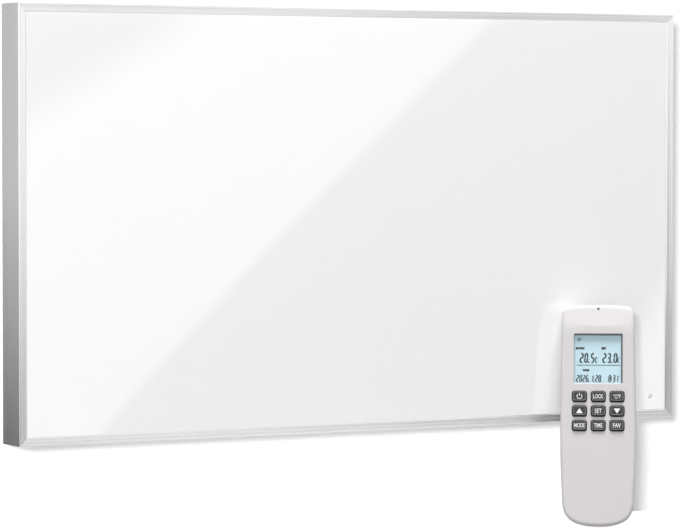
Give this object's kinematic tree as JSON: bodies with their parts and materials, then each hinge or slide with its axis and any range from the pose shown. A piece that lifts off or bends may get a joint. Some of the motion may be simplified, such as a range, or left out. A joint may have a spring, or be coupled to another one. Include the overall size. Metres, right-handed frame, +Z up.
{
  "type": "infrared panel heater",
  "caption": "Wall-hung infrared panel heater: white gloss glass in a mitred brushed-aluminium frame, with its wall rail and an upright white hand control with a display and grey keys.",
  "frame": {"origin": "on the wall, in the middle of the rear face of the wall rail", "axes": "+X along the panel's width to the right as seen from the front, +Y into the wall, +Z up"},
  "size_m": [0.662, 0.1598, 0.4656],
  "materials": {
    "frame_aluminium": "brushed lengthwise, clear anodised",
    "zinc": "bare die-cast",
    "white_glass": "gloss, enamelled white on its back",
    "seal_silicone": "matt",
    "carbon_film": "matt printed carbon",
    "copper": "bright strip",
    "foil": "bright foil",
    "insulation": "pressed mineral wool",
    "black_plastic": "fine grained",
    "circuit_board": "solder-masked laminate",
    "status_lens": "smoked clear plastic",
    "sheet_steel": "zinc-coated sheet",
    "black_rubber": "matt",
    "screw_steel": "zinc-plated",
    "relay_plastic": "satin",
    "terminal_plastic": "satin",
    "white_plastic": "satin off-white",
    "display_window": "clear",
    "display_glass": "pale blue liquid-crystal display",
    "mat_rubber": "matt",
    "key_rubber": "matt dark grey with pale legends",
    "battery_can": "printed sleeve",
    "contact_steel": "nickel-plated",
    "emitter_plastic": "dark clear epoxy"
  },
  "bodies": {
    "wall_mount": {"wall_rail": "sheet_steel", "wall_screw_left": "screw_steel", "wall_screw_right": "screw_steel"},
    "panel": {"frame_left": "frame_aluminium", "frame_top": "frame_aluminium", "frame_right": "frame_aluminium", "frame_bottom": "frame_aluminium", "corner_key_bottom_left": "zinc", "corner_key_top_left": "zinc", "corner_key_top_right": "zinc", "corner_key_bottom_right": "zinc", "glass_front": "white_glass", "glass_seal": "seal_silicone", "heating_film": "carbon_film", "busbar_left": "copper", "busbar_right": "copper", "reflective_foil": "foil", "insulation_board": "insulation", "thermal_cutout": "black_plastic", "receiver_holder": "black_plastic", "receiver_board": "circuit_board", "status_lens": "status_lens", "rear_plate": "sheet_steel", "wall_bumper_left": "black_rubber", "wall_bumper_right": "black_rubber", "plate_screw_bottom_left": "screw_steel", "plate_screw_top_left": "screw_steel", "plate_screw_top_right": "screw_steel", "plate_screw_bottom_right": "screw_steel", "hanger_bracket": "sheet_steel", "hanger_screw_left": "screw_steel", "hanger_screw_right": "screw_steel", "control_box": "black_plastic", "control_box_cover": "black_plastic", "control_board": "circuit_board", "relay": "relay_plastic", "terminal_block": "terminal_plastic", "cable_gland": "black_rubber", "gland_nut": "zinc"},
    "handset": {"handset_front_shell": "white_plastic", "handset_rear_shell": "white_plastic", "display_window": "display_window", "display_module": "display_glass", "handset_board": "circuit_board", "keypad_mat": "mat_rubber", "battery_left": "battery_can", "battery_right": "battery_can", "battery_contact_lower": "contact_steel", "battery_contact_upper": "contact_steel", "infrared_emitter": "emitter_plastic"},
    "power_key": {"key_power": "key_rubber"},
    "lock_key": {"key_lock": "key_rubber"},
    "units_key": {"key_units": "key_rubber"},
    "up_key": {"key_up": "key_rubber"},
    "set_key": {"key_set": "key_rubber"},
    "down_key": {"key_down": "key_rubber"},
    "mode_key": {"key_mode": "key_rubber"},
    "time_key": {"key_time": "key_rubber"},
    "favourite_key": {"key_favourite": "key_rubber"},
    "cover": {"battery_cover": "white_plastic"}
  },
  "joints": [
    {"name": "panel_unhook", "type": "slide", "parent": "wall_mount", "child": "panel", "axis": [0, 0, 1], "range_m": [0, 0.012]},
    {"name": "handset_pick_up", "type": "slide", "parent": "wall_mount", "child": "handset", "axis": [-0.5502, -0.8313, 0.0785], "range_m": [0, 0.2]},
    {"name": "press_power", "type": "slide", "parent": "handset", "child": "power_key", "axis": [0.5502, 0.8313, -0.0785], "range_m": [0, 0.001], "stiffness_N_per_m": 1200},
    {"name": "press_lock", "type": "slide", "parent": "handset", "child": "lock_key", "axis": [0.5502, 0.8313, -0.0785], "range_m": [0, 0.001], "stiffness_N_per_m": 1200},
    {"name": "press_units", "type": "slide", "parent": "handset", "child": "units_key", "axis": [0.5502, 0.8313, -0.0785], "range_m": [0, 0.001], "stiffness_N_per_m": 1200},
    {"name": "press_up", "type": "slide", "parent": "handset", "child": "up_key", "axis": [0.5502, 0.8313, -0.0785], "range_m": [0, 0.001], "stiffness_N_per_m": 1200},
    {"name": "press_set", "type": "slide", "parent": "handset", "child": "set_key", "axis": [0.5502, 0.8313, -0.0785], "range_m": [0, 0.001], "stiffness_N_per_m": 1200},
    {"name": "press_down", "type": "slide", "parent": "handset", "child": "down_key", "axis": [0.5502, 0.8313, -0.0785], "range_m": [0, 0.001], "stiffness_N_per_m": 1200},
    {"name": "press_mode", "type": "slide", "parent": "handset", "child": "mode_key", "axis": [0.5502, 0.8313, -0.0785], "range_m": [0, 0.001], "stiffness_N_per_m": 1200},
    {"name": "press_time", "type": "slide", "parent": "handset", "child": "time_key", "axis": [0.5502, 0.8313, -0.0785], "range_m": [0, 0.001], "stiffness_N_per_m": 1200},
    {"name": "press_favourite", "type": "slide", "parent": "handset", "child": "favourite_key", "axis": [0.5502, 0.8313, -0.0785], "range_m": [0, 0.001], "stiffness_N_per_m": 1200},
    {"name": "battery_cover_hinge", "type": "hinge", "parent": "handset", "child": "cover", "pos_m": [0.23181, -0.08538, -0.34756], "axis": [-0.8339, 0.5519, 0], "range_deg": [0, 60]}
  ]
}
